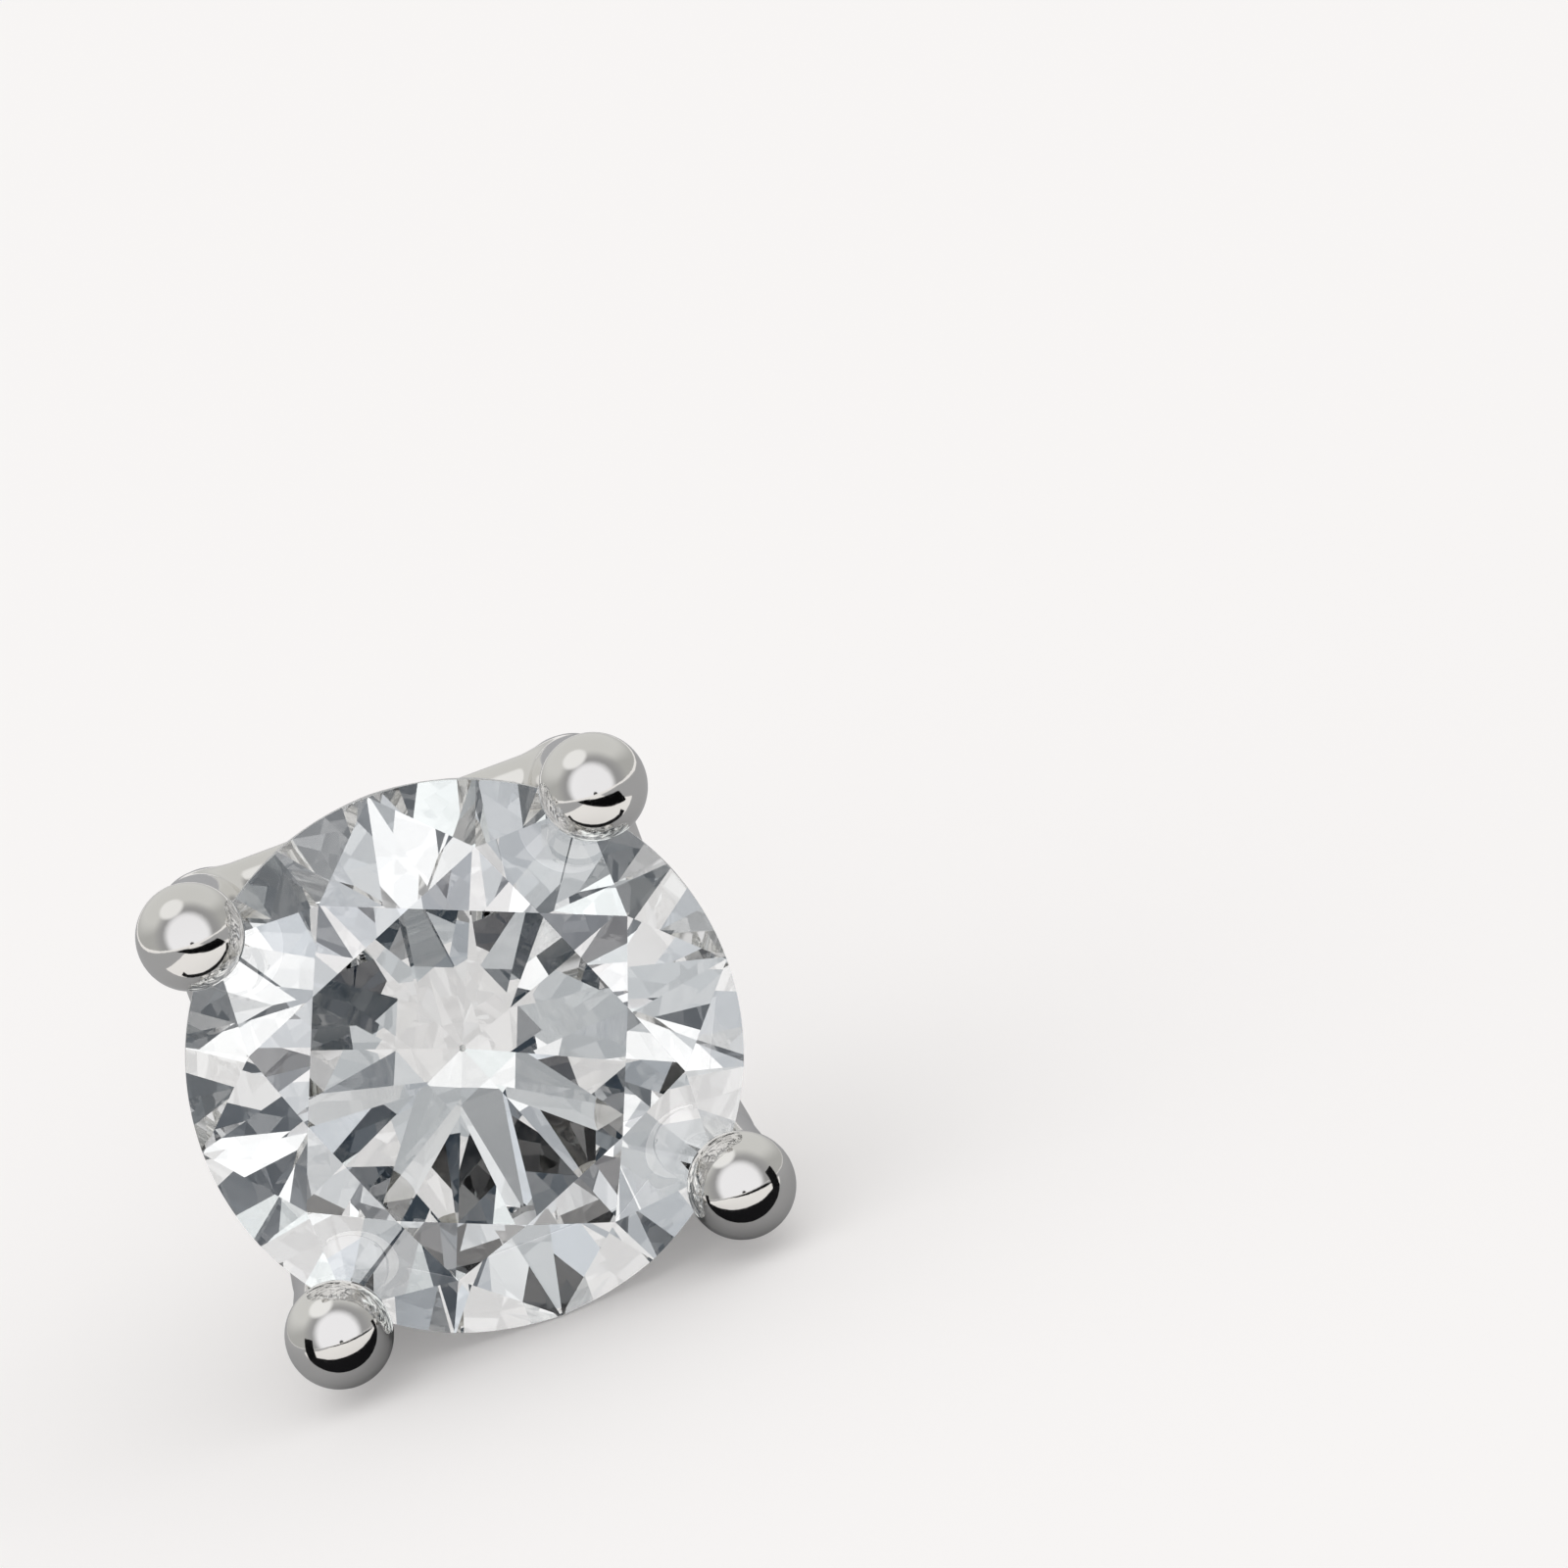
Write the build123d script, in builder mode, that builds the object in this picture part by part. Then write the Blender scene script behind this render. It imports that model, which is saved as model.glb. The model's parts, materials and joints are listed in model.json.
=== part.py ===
from build123d import *
import os
from math import asin, atan2, cos, degrees, hypot, radians, sin, tan

# A stud earring: one round brilliant stone in a four-prong wire basket, with a straight ear post.
#
# The head's own frame has its origin on the axis at the middle of the girdle, and z out through the
# table. The stud lies on its side, on the stone's girdle and the tip of its post, so the plane `lying`
# places the head's frame in the part's frame: millimetres, +Z up, the stone facing -Y, the origin on
# the floor under the middle of the part.

# ---- Driving dimensions, in millimetres and degrees ----

# Stone
girdle_diameter = 5.0
girdle_thickness = 0.16  # where the bezel facets meet it
table_share = 0.61  # corner to corner, of the girdle's diameter
star_share = 0.50  # how far a star facet reaches from the table's edge to the girdle
lower_girdle_share = 0.77  # how far a lower girdle facet reaches from the girdle to the culet
crown_angle = 34.5
pavilion_angle = 40.75
culet_radius = 0.03
mains = 8  # bezel facets round the crown, and main facets round the pavilion

# Setting
prong_wire_radius = 0.43
prong_reach = 2.716  # from the axis to the middle of a prong and of its ball
prong_azimuths = (45, 135)  # each wire makes two opposite prongs
prong_lean = 7.0  # of a prong's leg, inwards as it goes back
base_height = -2.95  # of the straight stretch under the stone that joins two opposite legs
base_bend_radius = 1.20
ball_radius = 0.49
ball_height = 0.36
rail_wire_radius = 0.40
rail_height = -1.52
boss_front_radius = 0.95
boss_back_radius = 0.72
boss_front_height = -2.70
boss_back_height = -3.55
boss_edge_radius = 0.12
stone_clearance = 0.025

# Ear post
post_radius = 0.40
post_length = 10.5  # out of the setting
post_foot_radius = 0.22  # the thinner end, which stands in the setting's socket
post_foot_length = 0.60
post_clearance = 0.02
groove_from_tip = 2.2
groove_width = 0.50
groove_depth = 0.07

# ---- Worked out: the stone's heights, reaches and slopes ----

girdle_radius = girdle_diameter / 2
table_radius = table_share * girdle_radius
crown_foot = girdle_thickness / 2
pavilion_foot = -girdle_thickness / 2
table_height = crown_foot + (girdle_radius - table_radius) * tan(radians(crown_angle))
half_step = 180 / mains  # from a main facet's middle to the ridge beside it
quarter_step = half_step / 2
ridge_share = cos(radians(half_step))
chord_share = cos(radians(quarter_step))
table_apothem = table_radius * ridge_share
chord_reach = girdle_radius * chord_share

star_tip_reach = table_apothem + star_share * (girdle_radius - table_apothem)
star_tip_rise = (girdle_radius - star_tip_reach * ridge_share) * tan(radians(crown_angle))
star_fall = table_height - crown_foot - star_tip_rise
star_angle = degrees(atan2(star_fall, star_tip_reach - table_apothem))
upper_girdle_run = (girdle_radius - star_tip_reach) * chord_share
upper_girdle_angle = degrees(atan2(star_tip_rise, upper_girdle_run))

lower_tip_reach = (1 - lower_girdle_share) * girdle_radius
lower_tip_drop = (girdle_radius - lower_tip_reach * ridge_share) * tan(radians(pavilion_angle))
lower_girdle_run = (girdle_radius - lower_tip_reach) * chord_share
lower_girdle_angle = degrees(atan2(lower_tip_drop, lower_girdle_run))
culet_height = pavilion_foot - (girdle_radius - culet_radius) * tan(radians(pavilion_angle))

# ---- Worked out: where a prong's leg meets its base and the rails ----

base_reach = prong_reach - (ball_height - base_height) * tan(radians(prong_lean))
rail_corner_reach = prong_reach - (ball_height - rail_height) * tan(radians(prong_lean))
rail_length = rail_corner_reach * 2**0.5
rail_reach = rail_length / 2

# ---- Worked out: how the stud lies ----

post_front_height = boss_back_height + post_foot_length
post_shoulder_height = boss_back_height - post_clearance
tip_centre_height = boss_back_height - post_length + post_radius
girdle_to_tip = pavilion_foot - tip_centre_height
tilt = atan2(girdle_radius, girdle_to_tip) - asin(post_radius / hypot(girdle_to_tip, girdle_radius))
axis_lift = post_radius - tip_centre_height * sin(tilt)
low_ball_drop = prong_reach * sin(radians(prong_azimuths[0]))
front_reach = low_ball_drop * sin(tilt) + ball_height * cos(tilt) + ball_radius
back_reach = post_radius - tip_centre_height * cos(tilt)
lying = Plane(
    origin=(0, (front_reach - back_reach) / 2, axis_lift),
    x_dir=(1, 0, 0),
    z_dir=(0, -cos(tilt), sin(tilt)),
)
head_axis = Axis(lying.origin, lying.z_dir)


def facet_plane(azimuth, slope, reach, height):
    """A facet's plane, facing out of the stone. It holds the point that far from the axis and that high."""
    facing = Vector(sin(radians(slope)), 0, cos(radians(slope))).rotate(Axis.Z, azimuth)
    point = Vector(reach, 0, height).rotate(Axis.Z, azimuth)
    return Plane(lying * Plane(origin=point, z_dir=facing))


def blade_plane(azimuth):
    """The plane through the head's axis at an azimuth: x away from the axis, y along it to the table."""
    outward = Vector(1, 0, 0).rotate(Axis.Z, azimuth)
    facing = Vector(0, -1, 0).rotate(Axis.Z, azimuth)
    return Plane(lying * Plane(origin=(0, 0, 0), x_dir=outward, z_dir=facing))


# ---- Stone: a round blank cut by rings of flat facets ----

crown_rings = (
    # facets, first azimuth, slope, reach, height
    (mains, 0, crown_angle, girdle_radius, crown_foot),
    (mains, half_step, star_angle, table_apothem, table_height),
    (2 * mains, quarter_step, upper_girdle_angle, chord_reach, crown_foot),
)
pavilion_rings = (
    (mains, 0, 180 - pavilion_angle, girdle_radius, pavilion_foot),
    (2 * mains, quarter_step, 180 - lower_girdle_angle, chord_reach, pavilion_foot),
    (1, 0, 180, 0, culet_height),
)

with BuildPart() as stone:
    with BuildSketch(lying.offset(table_height)):
        Circle(girdle_radius)
    extrude(amount=-2 * girdle_radius)
    for facets, first_azimuth, slope, reach, height in crown_rings + pavilion_rings:
        for number in range(facets):
            azimuth = first_azimuth + number * 360 / facets
            split(bisect_by=facet_plane(azimuth, slope, reach, height), keep=Keep.BOTTOM)
stone.part.label = "stone"

# ---- Setting: two bent wires that cross under the stone, four rails, and a boss for the post ----

with BuildPart() as setting:
    for azimuth in prong_azimuths:
        with BuildLine(blade_plane(azimuth)) as spine:
            FilletPolyline(
                (prong_reach, ball_height),
                (base_reach, base_height),
                (-base_reach, base_height),
                (-prong_reach, ball_height),
                radius=base_bend_radius,
            )
        with BuildSketch(Plane(origin=spine.line @ 0, z_dir=spine.line % 0)):
            Circle(prong_wire_radius)
        sweep(path=spine.line)

    with Locations(lying.offset(ball_height)):
        with PolarLocations(prong_reach, 2 * len(prong_azimuths), start_angle=prong_azimuths[0]):
            Sphere(ball_radius)

    for number in range(4):
        with BuildSketch(blade_plane(90 * number)):
            with Locations((rail_reach, rail_height)):
                Circle(rail_wire_radius)
        extrude(amount=rail_length / 2, both=True)

    with BuildSketch(blade_plane(0)) as boss_profile:
        with BuildLine():
            Polyline(
                (0, boss_front_height),
                (boss_front_radius, boss_front_height),
                (boss_back_radius, boss_back_height),
                (0, boss_back_height),
                close=True,
            )
        make_face()
        fillet(boss_profile.vertices().sort_by(Axis.X)[2:], boss_edge_radius)
    revolve(axis=head_axis)

    # The seat: the stone's outline, a little larger, turned round the axis.
    with BuildSketch(blade_plane(0)):
        with BuildLine():
            Polyline(
                (-girdle_radius, crown_foot),
                (-table_radius, table_height),
                (table_radius, table_height),
                (girdle_radius, crown_foot),
                (girdle_radius, pavilion_foot),
                (0, culet_height),
                (-girdle_radius, pavilion_foot),
                close=True,
            )
        make_face()
        offset(amount=stone_clearance, kind=Kind.INTERSECTION)
        Rectangle(
            2 * girdle_diameter, 2 * girdle_diameter, align=(Align.MIN, Align.CENTER), mode=Mode.INTERSECT
        )
    revolve(axis=head_axis, mode=Mode.SUBTRACT)

    # The socket that the post stands in.
    with BuildSketch(lying.offset(boss_back_height)):
        Circle(post_foot_radius + post_clearance)
    extrude(amount=post_foot_length + post_clearance, mode=Mode.SUBTRACT)
setting.part.label = "setting"

# ---- Ear post: a straight wire with a rounded tip and a shallow groove that a clutch grips ----

with BuildPart() as ear_post:
    with BuildSketch(blade_plane(0)):
        groove_height = tip_centre_height - post_radius + groove_from_tip
        with BuildLine():
            Polyline(
                (0, post_front_height),
                (post_foot_radius, post_front_height),
                (post_foot_radius, post_shoulder_height),
                (post_radius, post_shoulder_height),
                (post_radius, groove_height + groove_width / 2),
            )
            ThreePointArc(
                (post_radius, groove_height + groove_width / 2),
                (post_radius - groove_depth, groove_height),
                (post_radius, groove_height - groove_width / 2),
            )
            Line((post_radius, groove_height - groove_width / 2), (post_radius, tip_centre_height))
            CenterArc((0, tip_centre_height), post_radius, 0, -90)
            Line((0, tip_centre_height - post_radius), (0, post_front_height))
        make_face()
    revolve(axis=head_axis)
ear_post.part.label = "ear_post"

os.makedirs("parts", exist_ok=True)
export_step(stone.part, "parts/stone.step")
export_step(setting.part, "parts/setting.step")
export_step(ear_post.part, "parts/ear_post.step")

print(f"tilt {degrees(tilt):.3f} degrees, axis lift {axis_lift:.3f}, head centre y {lying.origin.Y:.3f}")
print(f"star {star_angle:.2f}, upper girdle {upper_girdle_angle:.2f}, lower girdle {lower_girdle_angle:.2f}")
print(f"table height {table_height:.3f}, culet height {culet_height:.3f}")
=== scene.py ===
import json
from math import asin, atan2, cos, degrees, pi, radians, sin, tan

import bmesh
import bpy
import numpy as np
from mathutils import Matrix, Vector


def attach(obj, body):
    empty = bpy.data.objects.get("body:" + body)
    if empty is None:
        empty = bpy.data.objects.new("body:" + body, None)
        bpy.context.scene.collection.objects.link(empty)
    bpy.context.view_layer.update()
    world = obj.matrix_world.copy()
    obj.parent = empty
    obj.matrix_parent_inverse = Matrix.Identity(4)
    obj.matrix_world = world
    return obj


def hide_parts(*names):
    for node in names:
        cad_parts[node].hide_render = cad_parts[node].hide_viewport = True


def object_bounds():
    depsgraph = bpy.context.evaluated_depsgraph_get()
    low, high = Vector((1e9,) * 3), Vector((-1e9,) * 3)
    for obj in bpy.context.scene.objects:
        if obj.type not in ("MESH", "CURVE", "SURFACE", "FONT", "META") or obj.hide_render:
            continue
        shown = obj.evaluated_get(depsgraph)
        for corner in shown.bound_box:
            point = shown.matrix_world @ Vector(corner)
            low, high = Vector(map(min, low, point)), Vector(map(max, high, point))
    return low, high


# A stud earring lying on its side: a round brilliant in a four-prong wire setting, with an ear post.
#
# Everything on the stud is laid out in the head's own frame, in millimetres: the origin on the axis at
# the middle of the girdle, z out through the table. `head` places that frame in the row frame.

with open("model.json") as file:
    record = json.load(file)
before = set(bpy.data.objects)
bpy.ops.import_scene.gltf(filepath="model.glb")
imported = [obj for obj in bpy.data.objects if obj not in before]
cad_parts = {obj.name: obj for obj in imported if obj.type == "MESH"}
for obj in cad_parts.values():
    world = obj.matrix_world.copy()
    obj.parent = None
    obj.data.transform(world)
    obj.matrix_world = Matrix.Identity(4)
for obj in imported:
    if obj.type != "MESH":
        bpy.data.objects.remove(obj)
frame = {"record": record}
cad_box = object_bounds()

mm = 0.001

# ---- Sizes of the stone, in millimetres and degrees ----

girdle_diameter = 5.0
girdle_thickness = 0.16  # where the bezel facets meet it
table_share = 0.61  # corner to corner, of the girdle's diameter
star_share = 0.50  # how far a star facet reaches from the table's edge to the girdle
lower_girdle_share = 0.77  # how far a lower girdle facet reaches from the girdle to the culet
crown_angle = 34.5
pavilion_angle = 40.75
culet_radius = 0.03
mains = 8  # bezel facets round the crown, and main facets round the pavilion
girdle_steps = 12  # along the edge of each upper or lower girdle facet

# ---- Sizes of the setting ----

prong_wire_radius = 0.43
prong_reach = 2.716  # from the axis to the middle of a prong and of its ball
prong_azimuths = (45, 135)  # each wire makes two opposite prongs
prong_lean = 7.0  # of a prong's leg, inwards as it goes back
base_height = -2.95  # of the straight stretch under the stone that joins two opposite legs
base_bend_radius = 1.20
ball_radius = 0.49
ball_height = 0.36
rail_wire_radius = 0.40
rail_height = -1.52
boss_front_radius = 0.95
boss_back_radius = 0.72
boss_front_height = -2.70
boss_back_height = -3.55
boss_edge_radius = 0.12
stone_clearance = 0.025
wire_fillet = 0.16  # how far solder and casting soften the corner where two wires cross
rail_fillet = 0.12
boss_fillet = 0.14
ball_fillet = 0.07

# ---- Sizes of the ear post ----

post_radius = 0.40
post_length = 10.5  # out of the setting
post_foot_radius = 0.22  # the thinner end, which stands in the setting's socket
post_foot_length = 0.60
post_clearance = 0.02
groove_from_tip = 2.2
groove_width = 0.50
groove_depth = 0.07

# ---- How finely the metal is divided ----

wire_sides = 24
ball_sides = 32
boss_sides = 48
seat_sides = 256
socket_sides = 48
post_sides = 96
bend_steps = 12
groove_steps = 12
tip_steps = 24
voxel_size = 0.04
sliver = 0.0005  # corners of a cut that are this close become one
setting_crease, post_crease = 25, 20  # degrees: an edge that turns by more stays sharp

# ---- Worked out: the stone ----

girdle_radius = girdle_diameter / 2
table_radius = table_share * girdle_radius
crown_foot = girdle_thickness / 2
pavilion_foot = -girdle_thickness / 2
table_height = crown_foot + (girdle_radius - table_radius) * tan(radians(crown_angle))
main_step = 360 / mains
half_step = main_step / 2
quarter_step = half_step / 2
ridge_share = cos(radians(half_step))
chord_share = cos(radians(quarter_step))
table_apothem = table_radius * ridge_share

star_tip_reach = table_apothem + star_share * (girdle_radius - table_apothem)
star_tip_rise = (girdle_radius - star_tip_reach * ridge_share) * tan(radians(crown_angle))
upper_girdle_slope = star_tip_rise / ((girdle_radius - star_tip_reach) * chord_share)

lower_tip_reach = (1 - lower_girdle_share) * girdle_radius
lower_tip_drop = (girdle_radius - lower_tip_reach * ridge_share) * tan(radians(pavilion_angle))
lower_girdle_slope = lower_tip_drop / ((girdle_radius - lower_tip_reach) * chord_share)
culet_height = pavilion_foot - (girdle_radius - culet_radius) * tan(radians(pavilion_angle))

# ---- Worked out: the prong wires and the post ----

base_reach = prong_reach - (ball_height - base_height) * tan(radians(prong_lean))
bend_reach = base_reach - base_bend_radius / tan(radians(90 + prong_lean) / 2)
bend_height = base_height + base_bend_radius
leg_foot_reach = bend_reach + base_bend_radius * cos(radians(prong_lean))
leg_foot_height = bend_height - base_bend_radius * sin(radians(prong_lean))
rail_corner_reach = prong_reach - (ball_height - rail_height) * tan(radians(prong_lean))
rail_reach = rail_corner_reach / 2**0.5
post_shoulder_height = boss_back_height - post_clearance
tip_centre_height = boss_back_height - post_length + post_radius

# ---- The head's frame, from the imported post: it starts at the shoulder and ends at the tip's centre ----

post_mount = frame["record"]["mounts"][0]
facing = -Vector(post_mount["axis"])
to_the_right = Vector((1, 0, 0))
head_centre = Vector(post_mount["pos_m"]) - facing * mm * (post_shoulder_height + tip_centre_height) / 2
head = Matrix.Translation(head_centre) @ (
    Matrix((to_the_right, facing.cross(to_the_right), facing)).transposed() * mm
).to_4x4()
tilt = asin(facing.z)


# ---- Meshes ----


def ring_point(reach, azimuth, height):
    """A point that far from the head's axis, at an azimuth in degrees, and that high."""
    return Vector((reach * cos(radians(azimuth)), reach * sin(radians(azimuth)), height))


def placed(name, data):
    """A new object in the scene."""
    made = bpy.data.objects.new(name, data)
    bpy.context.scene.collection.objects.link(made)
    return made


def finished(name, mesh, materials, node):
    """The piece of that name, made from a mesh in the head's frame, which stands for a CAD node."""
    mesh.transform(head)
    mesh.validate()
    for material in materials:
        mesh.materials.append(material)
    piece = placed(name, mesh)
    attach(piece, "root")
    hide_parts(node)
    return piece


def turned(form, profile, sides):
    """Adds a profile of (reach, height) points, turned round the head's axis. A reach of 0 is a pole."""
    step = 360 / sides
    rings = []
    for reach, height in profile:
        count = sides if reach > 0 else 1
        rings.append([form.verts.new(ring_point(reach, step * n, height)) for n in range(count)])
    for upper, lower in zip(rings, rings[1:]):
        for n in range(sides):
            corners = ((upper, n), (upper, n + 1), (lower, n + 1), (lower, n))
            around_face = [ring[k % len(ring)] for ring, k in corners]
            form.faces.new(list(dict.fromkeys(around_face)))


def swept(form, centres, sideways, radius):
    """Adds a round wire. Its centre line stays in the plane that sideways faces."""
    rings = []
    for n, centre in enumerate(centres):
        before, after = centres[max(n - 1, 0)], centres[min(n + 1, len(centres) - 1)]
        across = (after - before).normalized().cross(sideways)
        ring = []
        for k in range(wire_sides):
            turn = 2 * pi * k / wire_sides
            ring.append(form.verts.new(centre + radius * (cos(turn) * across + sin(turn) * sideways)))
        rings.append(ring)
    for first, second in zip(rings, rings[1:]):
        for k in range(wire_sides):
            after = (k + 1) % wire_sides
            form.faces.new((first[k], first[after], second[after], second[k]))
    form.faces.new(rings[0][::-1])
    form.faces.new(rings[-1])


def as_mesh(form, name):
    """The bmesh as a mesh, with its faces turned outwards."""
    bmesh.ops.recalc_face_normals(form, faces=form.faces)
    mesh = bpy.data.meshes.new(name)
    form.to_mesh(mesh)
    form.free()
    return mesh


def with_modifiers(mesh, *settings):
    """A copy of the mesh with modifiers applied. Each is (type, {property: value})."""
    holder = placed("holder", mesh)
    for kind, values in settings:
        modifier = holder.modifiers.new(kind, kind)
        for name, value in values.items():
            setattr(modifier, name, value)
    made = bpy.data.meshes.new_from_object(holder.evaluated_get(bpy.context.evaluated_depsgraph_get()))
    bpy.data.objects.remove(holder)
    return made


# ---- The stone: its facets are flat faces between named corners ----


def girdle_edge(azimuth):
    """How far a girdle facet's curved edge dips towards the girdle's middle, per unit of its slope."""
    from_middle = azimuth % half_step - quarter_step
    return girdle_radius * (cos(radians(from_middle)) - chord_share)


def cut_stone(materials):
    """The facets in the first material, and the girdle's band in the second."""
    form = bmesh.new()

    def corners(reach, height, first_azimuth):
        azimuths = [first_azimuth + n * main_step for n in range(mains)]
        return [form.verts.new(ring_point(reach, azimuth, height)) for azimuth in azimuths]

    table = corners(table_radius, table_height, 0)
    star_tips = corners(star_tip_reach, crown_foot + star_tip_rise, half_step)
    lower_tips = corners(lower_tip_reach, pavilion_foot - lower_tip_drop, half_step)
    culet = corners(culet_radius / ridge_share, culet_height, half_step)
    around = 2 * mains * girdle_steps
    upper_edge, lower_edge = [], []
    for n in range(around):
        azimuth = n * 360 / around
        dip = girdle_edge(azimuth)
        upper_height = crown_foot - dip * upper_girdle_slope
        lower_height = pavilion_foot + dip * lower_girdle_slope
        upper_edge.append(form.verts.new(ring_point(girdle_radius, azimuth, upper_height)))
        lower_edge.append(form.verts.new(ring_point(girdle_radius, azimuth, lower_height)))

    form.faces.new(table)
    form.faces.new(culet)
    for n in range(mains):
        after = (n + 1) % mains
        at_girdle = 2 * n * girdle_steps
        form.faces.new((table[n], star_tips[n], table[after]))
        form.faces.new((table[n], star_tips[n - 1], upper_edge[at_girdle], star_tips[n]))
        form.faces.new((lower_edge[at_girdle], lower_tips[n - 1], culet[n - 1], culet[n], lower_tips[n]))
    for n in range(2 * mains):
        edge = [(n * girdle_steps + k) % around for k in range(girdle_steps + 1)]
        form.faces.new([star_tips[n // 2]] + [upper_edge[k] for k in edge])
        form.faces.new([lower_tips[n // 2]] + [lower_edge[k] for k in edge])
    for n in range(around):
        after = (n + 1) % around
        band = form.faces.new((upper_edge[n], upper_edge[after], lower_edge[after], lower_edge[n]))
        band.smooth = True
        band.material_index = 1
    for edge in form.edges:
        edge.smooth = all(face.smooth for face in edge.link_faces)
    return finished("round_brilliant", as_mesh(form, "round_brilliant"), materials, "stone")


# ---- The setting: rough wires, balls, rails and boss are joined, then drawn onto one smooth surface ----


def blended(a, b, fillet):
    """The union of two distance fields, with the corner between them filled."""
    share = np.clip(0.5 + 0.5 * (b - a) / fillet, 0, 1)
    return b + (a - b) * share - fillet * share * (1 - share)


def along_blade(points, azimuth):
    """Points as seen in a plane through the axis: distance along it, height, and distance from it."""
    x, y, z = points.T
    turn = radians(azimuth)
    return x * cos(turn) + y * sin(turn), z, y * cos(turn) - x * sin(turn)


def wire_distance(points, azimuth):
    """Distance from a wire with two straight legs, bent round to a straight base."""
    reach, height, aside = along_blade(points, azimuth)
    reach = np.abs(reach)
    leg = np.array((prong_reach - leg_foot_reach, ball_height - leg_foot_height))
    share = ((reach - leg_foot_reach) * leg[0] + (height - leg_foot_height) * leg[1]) / (leg @ leg)
    share = np.clip(share, 0, 1)
    from_leg = np.hypot(reach - leg_foot_reach - share * leg[0], height - leg_foot_height - share * leg[1])
    out, down = reach - bend_reach, bend_height - height
    from_base = np.hypot(np.maximum(out, 0), height - base_height)
    from_bend = np.abs(np.hypot(out, down) - base_bend_radius)
    in_bend = (out > 0) & (down > out * tan(radians(prong_lean)))
    from_line = np.where(in_bend, from_bend, np.minimum(from_leg, from_base))
    return np.hypot(from_line, aside) - prong_wire_radius


def rail_distance(points):
    """Distance from the four straight rails that join neighbouring prongs into a square."""
    x, y, z = np.abs(points[:, 0]) - rail_reach, np.abs(points[:, 1]) - rail_reach, points[:, 2]
    from_square = np.hypot(np.maximum(x, 0), np.maximum(y, 0)) - np.minimum(np.maximum(x, y), 0)
    return np.hypot(from_square, z - rail_height) - rail_wire_radius


def boss_distance(points):
    """Distance from the boss, a cone with rounded edges."""
    reach, height = np.hypot(points[:, 0], points[:, 1]), points[:, 2]
    widening = atan2(boss_front_radius - boss_back_radius, boss_front_height - boss_back_height)
    above = height - boss_front_height + boss_edge_radius
    below = boss_back_height + boss_edge_radius - height
    outside = (reach - boss_front_radius) * cos(widening) - (height - boss_front_height) * sin(widening)
    outside = outside + boss_edge_radius
    flat = np.maximum(above, below)
    inside = np.minimum(np.maximum(flat, outside), 0)
    return np.hypot(np.maximum(flat, 0), np.maximum(outside, 0)) + inside - boss_edge_radius


def setting_distance(points):
    """Distance of points, in rows, from the setting's surface before its seat and socket are cut."""
    found = blended(*(wire_distance(points, azimuth) for azimuth in prong_azimuths), wire_fillet)
    found = blended(found, rail_distance(points), rail_fillet)
    found = blended(found, boss_distance(points), boss_fillet)
    for azimuth in prong_azimuths:
        along, height, aside = along_blade(points, azimuth)
        ball = np.sqrt((np.abs(along) - prong_reach) ** 2 + (height - ball_height) ** 2 + aside**2)
        found = blended(found, ball - ball_radius, ball_fillet)
    return found


def outward(points):
    """The setting's outward direction at each point."""
    nudge = 1e-4
    slopes = []
    for axis in np.eye(3):
        slopes.append(setting_distance(points + nudge * axis) - setting_distance(points - nudge * axis))
    slopes = np.stack(slopes, axis=1)
    return slopes / np.linalg.norm(slopes, axis=1, keepdims=True)


def vertex_places(mesh):
    """The vertices' places, in rows."""
    places = np.empty(3 * len(mesh.vertices))
    mesh.vertices.foreach_get("co", places)
    return places.reshape(-1, 3)


def drawn_onto_surface(mesh, rounds=6, evened=4, steps=2):
    """Moves the vertices onto the setting's surface in rounds. The first rounds also even the mesh out."""
    places = vertex_places(mesh)
    edges = np.empty(2 * len(mesh.edges), int)
    mesh.edges.foreach_get("vertices", edges)
    edges = edges.reshape(-1, 2)
    ends = np.concatenate((edges, edges[:, ::-1]))
    neighbours = np.bincount(ends[:, 0], minlength=len(places))[:, None]
    for number in range(rounds):
        totals = np.stack([np.bincount(ends[:, 0], places[ends[:, 1], axis]) for axis in range(3)], axis=1)
        if number < evened:
            places = (places + totals / neighbours) / 2
        for _ in range(steps):
            places = places - setting_distance(places)[:, None] * outward(places)
    mesh.vertices.foreach_set("co", places.ravel())
    mesh.update()


def rough_setting():
    """Wires, balls, rails and boss, which only run into one another."""
    form = bmesh.new()
    half_line = [(prong_reach, ball_height)]
    for n in range(bend_steps + 1):
        turn = radians(prong_lean + (90 - prong_lean) * n / bend_steps)
        reach = bend_reach + base_bend_radius * cos(turn)
        half_line.append((reach, bend_height - base_bend_radius * sin(turn)))
    line = half_line + [(-reach, height) for reach, height in half_line[::-1]]
    for azimuth in prong_azimuths:
        centres = [ring_point(reach, azimuth, height) for reach, height in line]
        swept(form, centres, ring_point(1, azimuth - 90, 0), prong_wire_radius)
        for reach in (-prong_reach, prong_reach):
            place = Matrix.Translation(ring_point(reach, azimuth, ball_height))
            sides = {"u_segments": ball_sides, "v_segments": ball_sides // 2}
            bmesh.ops.create_uvsphere(form, radius=ball_radius, matrix=place, **sides)
        for leg in (azimuth, azimuth + 180):
            rail = [ring_point(rail_corner_reach, corner, rail_height) for corner in (leg, leg + 90)]
            swept(form, rail, Vector((0, 0, 1)), rail_wire_radius)
    boss = (
        (0, boss_front_height),
        (boss_front_radius, boss_front_height),
        (boss_back_radius, boss_back_height),
        (0, boss_back_height),
    )
    turned(form, boss, boss_sides)
    return as_mesh(form, "rough_setting")


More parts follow.
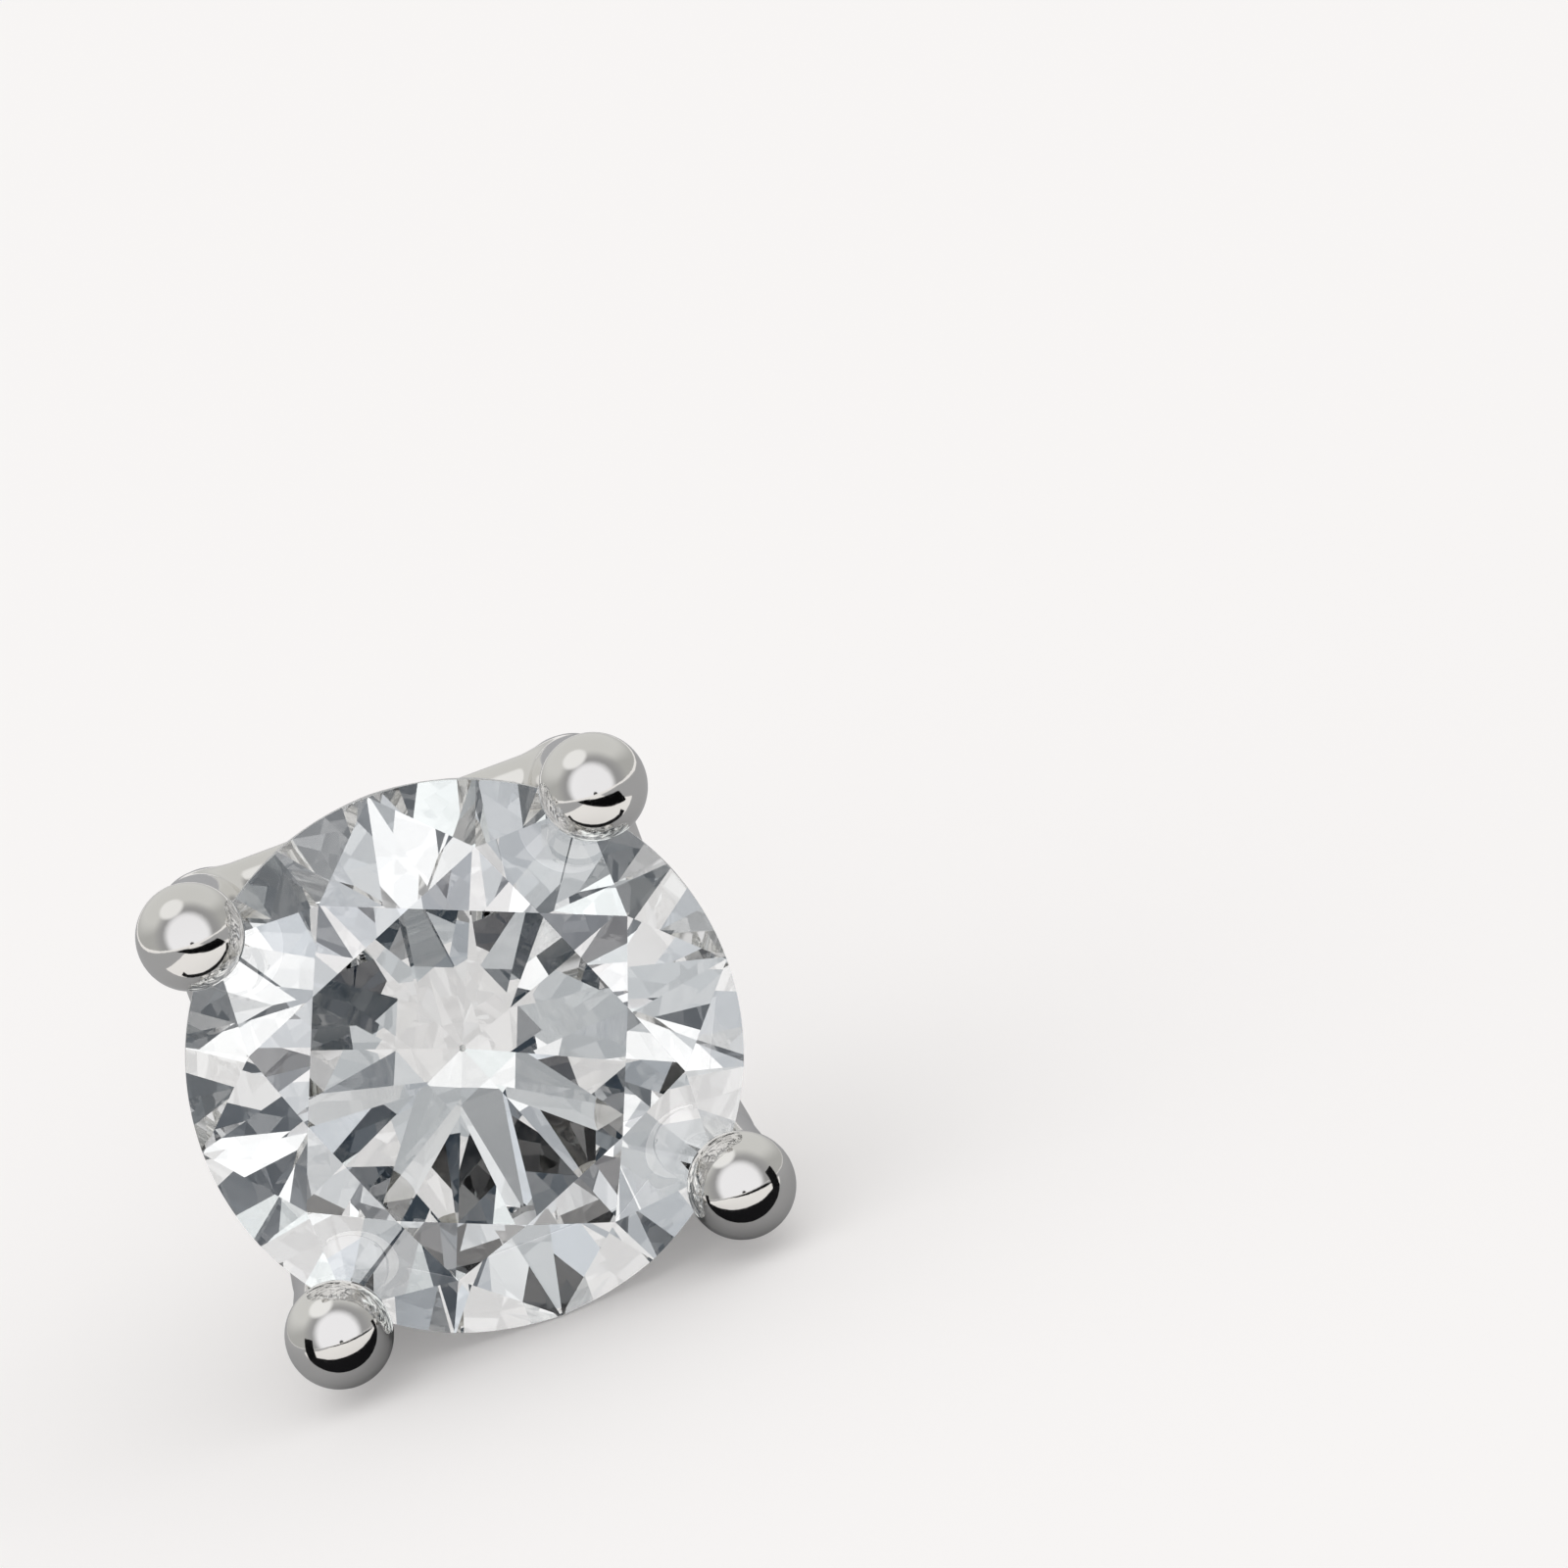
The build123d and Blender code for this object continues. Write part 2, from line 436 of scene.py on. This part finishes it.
def seat_cutter():
    """The stone's outline with its clearance, and the socket for the post, as one mesh that is cut away."""
    form = bmesh.new()
    crown, pavilion = radians(crown_angle), radians(pavilion_angle)
    wide = girdle_radius + stone_clearance
    over_crown = stone_clearance / cos(crown)
    under_pavilion = stone_clearance / cos(pavilion)
    top = table_height + stone_clearance
    top_reach = girdle_radius - (top - crown_foot - over_crown) / tan(crown)
    seat = (
        (0, top),
        (top_reach, top),
        (wide, crown_foot + over_crown - stone_clearance * tan(crown)),
        (wide, pavilion_foot - under_pavilion + stone_clearance * tan(pavilion)),
        (0, pavilion_foot - under_pavilion - girdle_radius * tan(pavilion)),
    )
    turned(form, seat, seat_sides)
    socket_radius = post_foot_radius + post_clearance
    socket = (
        (0, boss_back_height + post_foot_length + post_clearance),
        (socket_radius, boss_back_height + post_foot_length + post_clearance),
        (socket_radius, boss_back_height - post_foot_length),
        (0, boss_back_height - post_foot_length),
    )
    turned(form, socket, socket_sides)
    return as_mesh(form, "seat_cutter")


def cast_setting(materials):
    """The rough setting made one, drawn onto its smooth surface, and cut for the stone and the post."""
    mesh = with_modifiers(rough_setting(), ("REMESH", {"mode": "VOXEL", "voxel_size": voxel_size}))
    drawn_onto_surface(mesh)
    cutter = placed("seat_cutter", seat_cutter())
    cut = {"operation": "DIFFERENCE", "solver": "EXACT", "object": cutter}
    mesh = with_modifiers(mesh, ("BOOLEAN", cut), ("WELD", {"merge_threshold": sliver}))
    bpy.data.objects.remove(cutter)
    mesh.shade_smooth()
    mesh.set_sharp_from_angle(angle=radians(setting_crease))
    return finished("prong_setting", mesh, materials, "setting")


# ---- The ear post: a turned wire with a groove and a round tip ----


def turned_post(materials):
    """A thin foot, a shoulder, a groove with a round hollow, and a half-round tip."""
    groove_height = tip_centre_height - post_radius + groove_from_tip
    half_width = groove_width / 2
    hollow_radius = (half_width**2 + groove_depth**2) / (2 * groove_depth)
    half_turn = asin(half_width / hollow_radius)
    profile = [
        (0, boss_back_height + post_foot_length),
        (post_foot_radius, boss_back_height + post_foot_length),
        (post_foot_radius, post_shoulder_height),
        (post_radius, post_shoulder_height),
    ]
    for n in range(groove_steps + 1):
        turn = half_turn * (1 - 2 * n / groove_steps)
        reach = post_radius - groove_depth + hollow_radius * (1 - cos(turn))
        profile.append((reach, groove_height + hollow_radius * sin(turn)))
    for n in range(tip_steps):
        turn = pi / 2 * n / tip_steps
        profile.append((post_radius * cos(turn), tip_centre_height - post_radius * sin(turn)))
    profile.append((0, tip_centre_height - post_radius))
    form = bmesh.new()
    turned(form, profile, post_sides)
    mesh = as_mesh(form, "post_wire")
    mesh.shade_smooth()
    mesh.set_sharp_from_angle(angle=radians(post_crease))
    return finished("post_wire", mesh, materials, "ear_post")


# ---- Materials ----


def linear(hex_colour):
    """An sRGB hex colour as linear RGBA."""
    parts = [int(hex_colour[n : n + 2], 16) / 255 for n in (1, 3, 5)]
    return [c / 12.92 if c <= 0.04045 else ((c + 0.055) / 1.055) ** 2.4 for c in parts] + [1]


def add(tree, kind, inputs=None, **settings):
    """A new node. Settings are its properties, and inputs are its sockets' values or links."""
    made = tree.nodes.new("ShaderNode" + kind)
    for name, value in settings.items():
        setattr(made, name, value)
    for name, value in (inputs or {}).items():
        if isinstance(value, bpy.types.NodeSocket):
            tree.links.new(value, made.inputs[name])
        else:
            made.inputs[name].default_value = value
    return made


def new_material(name):
    """An empty material and its node tree."""
    material = bpy.data.materials.new(name)
    material.use_nodes = True
    material.node_tree.nodes.clear()
    return material, material.node_tree


def head_places(tree, stretch=(1, 1, 1)):
    """Places in the head's frame, in millimetres. A pattern is drawn longer by the stretch."""
    places = add(tree, "TexCoord").outputs["Object"]
    place = {
        "Vector": places,
        "Location": head_centre,
        "Rotation": head.to_quaternion().to_euler(),
        "Scale": (mm * stretch[0], mm * stretch[1], mm * stretch[2]),
    }
    return add(tree, "Mapping", place, vector_type="TEXTURE").outputs["Vector"]


def polished_diamond():
    """Diamond, cut and polished: clear, a trace of blue, mirror facets and strong reflections inside."""
    material, tree = new_material("polished_diamond")
    surface = {
        "Base Color": linear("#FDFEFE"),
        "Roughness": 0.0,
        "IOR": 2.417,
        "Transmission Weight": 1.0,
    }
    shader = add(tree, "BsdfPrincipled", surface)
    add(tree, "OutputMaterial", {"Surface": shader.outputs["BSDF"]})
    return material


def bruted_diamond():
    """Diamond, bruted: the girdle is ground and left matt, so it looks like fine frosted glass."""
    material, tree = new_material("bruted_diamond")
    grit_size = 0.03
    grit = add(tree, "TexNoise", {"Vector": head_places(tree), "Scale": 1 / grit_size, "Detail": 3.0})
    rough = add(tree, "MapRange", {"Value": grit.outputs["Fac"], "To Min": 0.22, "To Max": 0.42})
    bump = add(tree, "Bump", {"Height": grit.outputs["Fac"], "Strength": 0.5, "Distance": 0.002 * mm})
    surface = {
        "Base Color": linear("#FFFFFF"),
        "Roughness": rough.outputs["Result"],
        "IOR": 2.417,
        "Transmission Weight": 1.0,
        "Normal": bump.outputs["Normal"],
    }
    shader = add(tree, "BsdfPrincipled", surface)
    add(tree, "OutputMaterial", {"Surface": shader.outputs["BSDF"]})
    return material


def rhodium_plate():
    """White gold, cast, buffed and rhodium plated: a bright, faintly grey mirror with soft swirls."""
    material, tree = new_material("rhodium_plate")
    places = head_places(tree)
    cloud_size, swirl_size = 0.9, 0.12
    clouds = add(tree, "TexNoise", {"Vector": places, "Scale": 1 / cloud_size, "Detail": 2.0})
    swirl = {"Vector": places, "Scale": 1 / swirl_size, "Detail": 4.0, "Distortion": 1.5}
    swirls = add(tree, "TexNoise", swirl)
    tones = {0: clouds.outputs["Fac"], 6: linear("#EFEEEB"), 7: linear("#E3E1DD")}
    colour = add(tree, "Mix", tones, data_type="RGBA")
    rough = add(tree, "MapRange", {"Value": swirls.outputs["Fac"], "To Min": 0.03, "To Max": 0.10})
    bump = add(tree, "Bump", {"Height": swirls.outputs["Fac"], "Strength": 0.25, "Distance": 0.001 * mm})
    surface = {
        "Base Color": colour.outputs[2],
        "Metallic": 1.0,
        "Roughness": rough.outputs["Result"],
        "Normal": bump.outputs["Normal"],
    }
    shader = add(tree, "BsdfPrincipled", surface)
    add(tree, "OutputMaterial", {"Surface": shader.outputs["BSDF"]})
    return material


def drawn_wire():
    """White gold wire, drawn through a die and rhodium plated: a mirror with faint lines along it."""
    material, tree = new_material("drawn_wire")
    line_width, line_length = 0.035, 4.0
    places = head_places(tree, (line_width, line_width, line_length))
    lines = add(tree, "TexNoise", {"Vector": places, "Scale": 1.0, "Detail": 2.0})
    rough = add(tree, "MapRange", {"Value": lines.outputs["Fac"], "To Min": 0.08, "To Max": 0.20})
    bump = add(tree, "Bump", {"Height": lines.outputs["Fac"], "Strength": 0.4, "Distance": 0.002 * mm})
    surface = {
        "Base Color": linear("#E6E4E0"),
        "Metallic": 1.0,
        "Roughness": rough.outputs["Result"],
        "Normal": bump.outputs["Normal"],
    }
    shader = add(tree, "BsdfPrincipled", surface)
    add(tree, "OutputMaterial", {"Surface": shader.outputs["BSDF"]})
    return material


# ---- The studio: a pale floor, a soft light tent, and dark cards that only gloss and glass show, as painted shade and painted dark reflections ----

backdrop_hex = "#F7F5F4"
floor_lift = 0.262
floor_radius, floor_sides = 3.0, 96
card_lift = 0.02  # of the cards above the floor, in millimetres
stud_front = cad_box[0][1] / mm  # along y, which runs from the stone to the tip of the post
# edges of the card of painted shade just before the stud
trough_near, trough_far = stud_front - 0.10, stud_front - 0.90
camera_elevation = degrees(tilt) + 8.0
window_edge = 0.2  # how soft a window's edge is, as a share of its radius to each side

gloss_walls = ("#F6F6F4", 0.50)
gloss_windows = (
    # off the camera's axis, way round from the right, radius, tone, brightness
    (100, 90, 60, "#FAFAF8", 0.72),  # overhead and behind
    (0, 0, 72, "#F8F8FA", 0.38),  # the shaded front
    (76, 104, 21, "#FFFFFF", 0.95),  # a soft box high in front
    (4, 120, 48, "#FBFBFF", 1.02),  # a diffuser round the camera
    (16, 270, 4, "#808080", 0.05),  # a black card under the lens, which keeps the table clear
)
glass_walls = ("#C8E4FF", 0.07)
# The places and sizes of these windows are the rounded result of a search. Their tones follow a fit of
# colour, and their brightness was set one by one.
glass_windows = (
    # off the camera's axis, way round from the right, radius, tone, brightness
    (10, -5, 20, "#F8FCFF", 0.63),  # a soft box round the camera
    (52, 75, 14, "#FFFFFF", 1.3),  # high in front
    (50, -15, 30, "#FFFFFF", 1.3),  # wide, on the right
    (45, -5, 25, "#F4F9FF", 0.6),  # its dimmer middle
    (50, 40, 12, "#FFFFFF", 1.3),  # upper right
    (55, 135, 18, "#FAFEFE", 1.25),  # upper left
    (70, 175, 15, "#FFFFFF", 1.3),  # far left
    (30, -145, 12, "#F4F9FF", 0.9),  # low on the left
    (15, 130, 8, "#FFFFFF", 1.3),  # close above the camera
    (6, 170, 10, "#FFFFFF", 1.3),  # beside the lens
    (2, -150, 8, "#4060A0", 0.03),  # the dark lens
)


def looked_at(tree):
    """1 where the camera sees a surface, straight or by metal or glass, and 0 where it only gives light."""
    path = add(tree, "LightPath").outputs
    found = path["Is Camera Ray"]
    for kind in ("Is Glossy Ray", "Is Transmission Ray"):
        found = add(tree, "Math", {0: found, 1: path[kind]}, operation="MAXIMUM").outputs["Value"]
    return found


def floor_card():
    """Card, matt and pale. Where it is seen, a little glow brings it up to the backdrop's tone."""
    material, tree = new_material("floor_card")
    card = add(tree, "BsdfDiffuse", {"Color": linear("#DCDAD9")})
    lift = add(tree, "Math", {0: looked_at(tree), 1: floor_lift}, operation="MULTIPLY")
    glow = add(tree, "Emission", {"Color": linear(backdrop_hex), "Strength": lift.outputs["Value"]})
    both = add(tree, "AddShader", {0: card.outputs["BSDF"], 1: glow.outputs["Emission"]})
    add(tree, "OutputMaterial", {"Surface": both.outputs["Shader"]})
    return material


def dark_card(name, tone):
    """Card, matt and dark, which puts a dark line or a soft shade into polished metal and stone: painted
    reflection and painted shade.
    """
    material, tree = new_material(name)
    card = add(tree, "BsdfDiffuse", {"Color": linear(tone)})
    add(tree, "OutputMaterial", {"Surface": card.outputs["BSDF"]})
    return material


def from_view(off_axis, clock):
    """The direction that far from the camera's axis, in degrees, and that way round from the right."""
    axis = Vector((0, -cos(radians(camera_elevation)), sin(radians(camera_elevation))))
    up = axis.cross(to_the_right)
    aside = cos(radians(clock)) * to_the_right + sin(radians(clock)) * up
    return cos(radians(off_axis)) * axis + sin(radians(off_axis)) * aside


def glowing(tone, brightness):
    """A tone as linear RGBA, at that brightness."""
    return [brightness * part for part in linear(tone)[:3]] + [1]


def tent(tree, walls, windows):
    """Light by direction: the walls, with each window laid over what comes before it."""
    direction = add(tree, "TexCoord").outputs["Generated"]
    found = glowing(*walls)
    for off_axis, clock, radius, tone, brightness in windows:
        toward = {0: direction, 1: from_view(off_axis, clock)}
        near = add(tree, "VectorMath", toward, operation="DOT_PRODUCT").outputs["Value"]
        edge = {
            "Value": near,
            "From Min": cos(radians(radius * (1 + window_edge))),
            "From Max": cos(radians(radius * (1 - window_edge))),
        }
        share = add(tree, "MapRange", edge, interpolation_type="SMOOTHSTEP").outputs["Result"]
        laid = {0: share, 6: found, 7: glowing(tone, brightness)}
        found = add(tree, "Mix", laid, data_type="RGBA").outputs[2]
    return found


def light_tent():
    """Even light on everything. Gloss shows a tent with a bright front, and glass a dark one."""
    world = bpy.data.worlds.new("light_tent")
    world.use_nodes = True
    tree = world.node_tree
    tree.nodes.clear()
    path = add(tree, "LightPath")
    found = linear("#FBFBFB")
    for kind, seen in (
        ("Is Glossy Ray", tent(tree, gloss_walls, gloss_windows)),
        ("Is Transmission Ray", tent(tree, glass_walls, glass_windows)),
        ("Is Camera Ray", linear(backdrop_hex)),
    ):
        shown = {0: path.outputs[kind], 6: found, 7: seen}
        found = add(tree, "Mix", shown, data_type="RGBA").outputs[2]
    light = add(tree, "Background", {"Color": found, "Strength": 1.0})
    add(tree, "OutputWorld", {"Surface": light.outputs["Background"]})
    bpy.context.scene.world = world


def staged(name, mesh, material):
    """A piece of the studio."""
    mesh.materials.append(material)
    piece = placed(name, mesh)
    return piece


def studio_floor():
    form = bmesh.new()
    bmesh.ops.create_circle(form, cap_ends=True, segments=floor_sides, radius=floor_radius)
    staged("studio_floor", as_mesh(form, "studio_floor"), floor_card())


def level_sheet(left, right, near, far, height):
    """The corners of a level sheet. Left and right are places along x, and near and far along y."""
    corners = ((left, near), (right, near), (right, far), (left, far))
    return [Vector((x, y, height)) for x, y in corners]


def laid_card(name, tone, sheets):
    """Sheets of card, with corners in millimetres. The camera doesn't see them, nor their shadow, so they
    only paint shade and dark reflections into metal and stone.
    """
    form = bmesh.new()
    for sheet in sheets:
        form.faces.new([form.verts.new(corner * mm) for corner in sheet])
    card = staged(name, as_mesh(form, name), dark_card(name, tone))
    card.visible_camera = False
    card.visible_diffuse = False
    card.visible_shadow = False
    return card


def painted_shade_trough():
    """A dark card close before the stud, with a low wall at each side, which metal and stone show: painted
    shade, standing for the stud's contact shadow on the floor as they reflect it.
    """
    side, top = 4, 1.4
    near, far, foot = trough_near, trough_far, card_lift
    sheets = [level_sheet(-side, side, near, far, foot)]
    for x in (-side, side):
        sheets.append([Vector((x, y, z)) for y, z in ((near, foot), (far, foot), (far, top), (near, top))])
    # near black: painted shade, the contact shadow in front of the stud as metal and stone reflect it
    laid_card("painted_shade_trough", "#1C1C1E", sheets)


def painted_reflection_strip():
    """A dark card that lies askew farther in front, which only the metal shows: it paints dark reflected
    lines into it.
    """
    near, far, left, right = 6.5, 21.5, -45, 4.4
    askew = 42
    turn = Matrix.Translation((0, stud_front, 0)) @ Matrix.Rotation(radians(askew), 4, "Z")
    corners = [turn @ corner for corner in level_sheet(left, right, -near, -far, card_lift)]
    # near black, seen only in the metal: a painted dark reflection
    laid_card("painted_reflection_strip", "#0C0C0D", [corners]).visible_transmission = False


def painted_shade_surround():
    """Grey cards under, behind and beside the stud, which leave a pale path in front. Only the metal shows
    them: painted shade, standing for the shaded floor round the stud as the metal reflects it.
    """
    path_side, reach = 9, 60
    height = card_lift / 2
    sheets = [level_sheet(-reach, reach, trough_near, reach, height)]
    for left, right in ((-reach, -path_side), (path_side, reach)):
        sheets.append(level_sheet(left, right, trough_near, -reach, height))
    # mid grey: painted shade of the floor round the stud, seen only in the metal
    laid_card("painted_shade_surround", "#ACACAE", sheets).visible_transmission = False


def painted_reflection_card():
    """A dark card that widens from close before the stud to far away, which only the stone shows: it paints
    dark reflections into the stone.
    """
    near, far, half_angle = 12, 120, 25
    spread = tan(radians(half_angle))
    corners = []
    for away, side in ((near, -1), (near, 1), (far, 1), (far, -1)):
        corners.append(Vector((side * away * spread, head_centre.y / mm - away, card_lift)))
    # near black, seen only through the stone: painted dark reflections
    laid_card("painted_reflection_card", "#0C0C0D", [corners]).visible_glossy = False


def product_camera():
    """Looks a little down on the table, and leans so that the stud stands turned in the frame."""
    distance = 0.3
    picture_width = 14.035 * mm
    lean = 20.4
    left_of_middle, below_middle = 2.860 * mm, 2.430 * mm
    data = bpy.data.cameras.new("product_camera")
    data.lens = data.sensor_width * distance / picture_width
    data.clip_start, data.clip_end = 0.01, 10
    camera = placed("product_camera", data)
    back = from_view(0, 0)
    right = from_view(90, -lean)
    up = back.cross(right)
    place = head_centre + back * distance + right * left_of_middle + up * below_middle
    turn = Matrix((right, up, back)).transposed().to_4x4()
    camera.matrix_world = Matrix.Translation(place) @ turn
    bpy.context.scene.camera = camera


cut_stone([polished_diamond(), bruted_diamond()])
cast_setting([rhodium_plate()])
turned_post([drawn_wire()])
studio_floor()
painted_shade_trough()
painted_reflection_strip()
painted_shade_surround()
painted_reflection_card()
light_tent()
product_camera()

bounces = 32  # light is thrown from facet to facet many times before it leaves the stone
scene = bpy.context.scene
scene.view_settings.view_transform = "Standard"
scene.cycles.max_bounces = bounces
scene.cycles.glossy_bounces = bounces
scene.cycles.transmission_bounces = bounces
